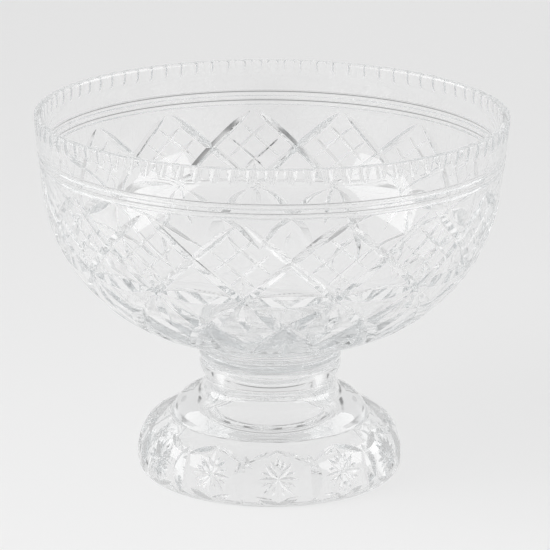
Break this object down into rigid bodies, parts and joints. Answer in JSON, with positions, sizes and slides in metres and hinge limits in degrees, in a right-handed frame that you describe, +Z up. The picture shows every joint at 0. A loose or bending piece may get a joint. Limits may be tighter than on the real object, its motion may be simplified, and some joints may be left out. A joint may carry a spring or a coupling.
{
  "type": "footed punch bowl",
  "caption": "Large cut-crystal punch bowl with a notched rim and diamond cutting, resting on a separate hollow bell-shaped crystal stand that it lifts off.",
  "frame": {"origin": "centre of the stand's contact ring, on the surface it stands on", "axes": "+Z up along the common axis of the bowl and the stand; -Y is the side seen in the reference view"},
  "size_m": [0.305, 0.305, 0.24],
  "materials": {
    "bowl_crystal": "clear cut crystal, polished",
    "stand_crystal": "clear cut crystal, polished"
  },
  "bodies": {
    "stand": {"stand": "stand_crystal"},
    "bowl": {"bowl": "bowl_crystal"}
  },
  "joints": [
    {"name": "bowl_lift", "type": "slide", "parent": "stand", "child": "bowl", "axis": [0, 0, 1], "range_m": [0, 0.15]}
  ]
}
